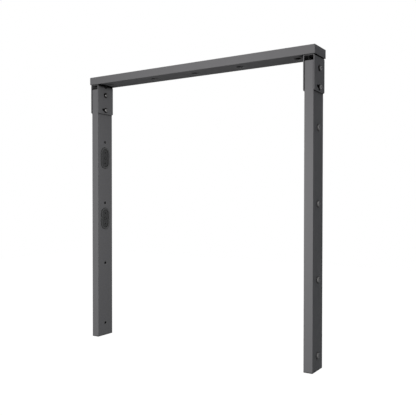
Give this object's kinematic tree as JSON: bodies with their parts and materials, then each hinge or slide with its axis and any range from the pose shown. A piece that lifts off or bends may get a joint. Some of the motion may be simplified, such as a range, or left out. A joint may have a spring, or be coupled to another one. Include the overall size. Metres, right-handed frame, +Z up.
{
  "type": "ceiling display mount",
  "caption": "Ceiling display mount: a flat beam with two long hollow posts hung in clamped tilting brackets, drilled inside for a display held between them.",
  "frame": {"origin": "centre of the beam's top face, on the ceiling", "axes": "+X along the beam towards the post without cable glands, +Y from front to back, +Z up"},
  "size_m": [0.9328, 0.09, 1.0035],
  "materials": {
    "frame_steel": "fine-textured charcoal powder coat",
    "black_steel": "black oxide",
    "zinc_steel": "zinc plated",
    "cap_plastic": "matt charcoal",
    "gland_plastic": "matt dark grey",
    "gland_rubber": "soft matt"
  },
  "bodies": {
    "ceiling_beam": {"beam_tube": "frame_steel", "beam_end_cap_left": "cap_plastic", "tilt_bracket_left": "frame_steel", "nut_plate_left": "zinc_steel", "bracket_screws_left": "black_steel", "bracket_washers_left": "black_steel", "beam_end_cap_right": "cap_plastic", "tilt_bracket_right": "frame_steel", "nut_plate_right": "zinc_steel", "bracket_screws_right": "black_steel", "bracket_washers_right": "black_steel"},
    "left_post": {"post_tube_left": "frame_steel", "post_top_cap_left": "cap_plastic", "post_foot_cap_left": "cap_plastic", "pivot_screws_left": "black_steel", "pivot_washers_left": "black_steel", "pivot_sleeve_left": "zinc_steel", "clamp_screws_left": "black_steel", "clamp_washers_left": "black_steel", "clamp_sleeve_left": "zinc_steel", "access_plugs_left": "cap_plastic", "lower_cable_gland_frame": "gland_plastic", "lower_cable_gland_membrane": "gland_rubber", "lower_cable_gland_backing": "gland_plastic", "upper_cable_gland_frame": "gland_plastic", "upper_cable_gland_membrane": "gland_rubber", "upper_cable_gland_backing": "gland_plastic"},
    "right_post": {"post_tube_right": "frame_steel", "post_top_cap_right": "cap_plastic", "post_foot_cap_right": "cap_plastic", "pivot_screws_right": "black_steel", "pivot_washers_right": "black_steel", "pivot_sleeve_right": "zinc_steel", "clamp_screws_right": "black_steel", "clamp_washers_right": "black_steel", "clamp_sleeve_right": "zinc_steel", "access_plugs_right": "cap_plastic"}
  },
  "joints": [
    {"name": "left_tilt", "type": "hinge", "parent": "ceiling_beam", "child": "left_post", "pos_m": [-0.4413, 0, -0.065], "axis": [-1, 0, 0], "range_deg": [0, 15]},
    {"name": "right_tilt", "type": "hinge", "parent": "ceiling_beam", "child": "right_post", "pos_m": [0.4413, 0, -0.065], "axis": [-1, 0, 0], "range_deg": [0, 15]}
  ]
}
